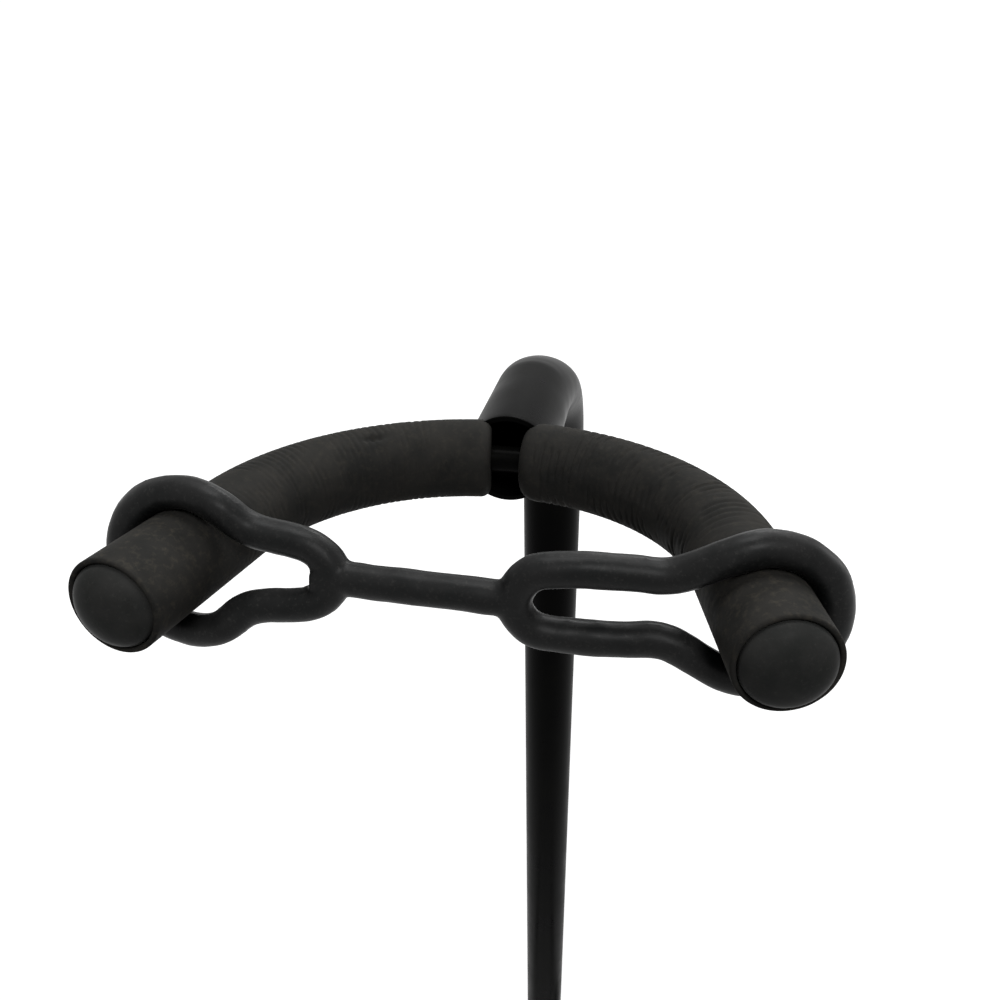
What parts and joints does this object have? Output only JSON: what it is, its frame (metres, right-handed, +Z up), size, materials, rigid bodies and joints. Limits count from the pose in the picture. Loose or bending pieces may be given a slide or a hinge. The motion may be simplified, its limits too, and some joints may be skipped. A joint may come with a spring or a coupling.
{
  "type": "guitar stand",
  "caption": "Tubular guitar stand with a foam-padded neck yoke and rubber retaining strap, a telescopic post with a clamp collar, a folding padded cradle and a folding tripod.",
  "frame": {"origin": "on the floor, under the middle of the outline that the three feet make", "axes": "+Z up along the post, -Y towards the player, where the yoke and the cradle open, +X to the right seen from the player"},
  "size_m": [0.4896, 0.3478, 0.9096],
  "materials": {
    "black_painted_steel": "satin gloss black paint",
    "black_foam_rubber": "matte foam rubber with fine wrinkles in the bends",
    "black_moulded_rubber": "satin moulded rubber",
    "black_moulded_nylon": "fine grained moulded nylon",
    "zinc_plated_steel": "zinc plated"
  },
  "bodies": {
    "base": {"cap_screw_lower_left": "zinc_plated_steel", "cap_screw_lower_right": "zinc_plated_steel", "cap_screw_upper_left": "zinc_plated_steel", "cap_screw_upper_right": "zinc_plated_steel", "clamp_collar": "black_moulded_nylon", "collar_bush": "black_moulded_nylon", "collar_screw_back": "zinc_plated_steel", "collar_screw_front": "zinc_plated_steel", "cradle_bracket": "black_painted_steel", "cradle_cap": "black_painted_steel", "cradle_set_screw": "zinc_plated_steel", "hub_bottom_cap": "black_moulded_nylon", "hub_screw_left": "zinc_plated_steel", "hub_screw_right": "zinc_plated_steel", "leg_hub": "black_painted_steel", "lower_tube": "black_painted_steel", "pivot_bolt_left": "zinc_plated_steel", "pivot_bolt_rear": "zinc_plated_steel", "pivot_bolt_right": "zinc_plated_steel", "pivot_nut_left": "zinc_plated_steel", "pivot_nut_rear": "zinc_plated_steel", "pivot_nut_right": "zinc_plated_steel"},
    "tube_guide": {"tube_guide_plug": "black_moulded_nylon"},
    "neck_post": {"upper_tube": "black_painted_steel", "yoke_rod": "black_painted_steel", "yoke_sleeve_left": "black_foam_rubber", "yoke_sleeve_right": "black_foam_rubber", "yoke_plug_left": "black_moulded_nylon", "yoke_plug_right": "black_moulded_nylon", "neck_strap": "black_moulded_rubber"},
    "clamp_shoe": {"clamp_shoe": "black_moulded_nylon"},
    "clamp_knob": {"clamp_screw": "zinc_plated_steel", "clamp_knob": "black_moulded_nylon"},
    "cradle": {"cradle_rod": "black_painted_steel", "cradle_stop_left": "black_painted_steel", "cradle_stop_right": "black_painted_steel", "cradle_sleeve_left": "black_foam_rubber", "cradle_sleeve_right": "black_foam_rubber", "cradle_plug_left": "black_moulded_nylon", "cradle_plug_right": "black_moulded_nylon"},
    "leg_left": {"leg_knuckle_left": "black_moulded_nylon", "leg_tube_left": "black_painted_steel", "foot_left": "black_moulded_rubber"},
    "leg_right": {"leg_knuckle_right": "black_moulded_nylon", "leg_tube_right": "black_painted_steel", "foot_right": "black_moulded_rubber"},
    "leg_rear": {"leg_knuckle_rear": "black_moulded_nylon", "leg_tube_rear": "black_painted_steel", "foot_rear": "black_moulded_rubber"}
  },
  "joints": [
    {"name": "height_slide", "type": "slide", "parent": "base", "child": "tube_guide", "axis": [0, 0, 1], "range_m": [-0.075, 0.075]},
    {"name": "neck_swivel", "type": "hinge", "parent": "tube_guide", "child": "neck_post", "pos_m": [0, 0.03392, 0.29], "axis": [0, 0, 1], "continuous": true},
    {"name": "clamp_slide", "type": "slide", "parent": "base", "child": "clamp_shoe", "axis": [1, 0, 0], "range_m": [0, 0.0015]},
    {"name": "clamp_turn", "type": "hinge", "parent": "clamp_shoe", "child": "clamp_knob", "pos_m": [0.03, 0.03392, 0.305], "axis": [1, 0, 0], "range_deg": [0, 540]},
    {"name": "cradle_fold", "type": "hinge", "parent": "base", "child": "cradle", "pos_m": [0, -0.00008, 0.215], "axis": [-1, 0, 0], "range_deg": [0, 80]},
    {"name": "leg_left_fold", "type": "hinge", "parent": "base", "child": "leg_left", "pos_m": [-0.02528, 0.01271, 0.13], "axis": [0.6428, -0.766, 0], "range_deg": [0, 65.9]},
    {"name": "leg_right_fold", "type": "hinge", "parent": "base", "child": "leg_right", "pos_m": [0.02528, 0.01271, 0.13], "axis": [0.6428, 0.766, 0], "range_deg": [0, 65.9]},
    {"name": "leg_rear_fold", "type": "hinge", "parent": "base", "child": "leg_rear", "pos_m": [0, 0.06692, 0.13], "axis": [-1, 0, 0], "range_deg": [0, 37.6]}
  ],
  "couplings": [
    {"joint": "clamp_turn", "follows": "clamp_slide", "rad_per_m": 6283.2}
  ]
}
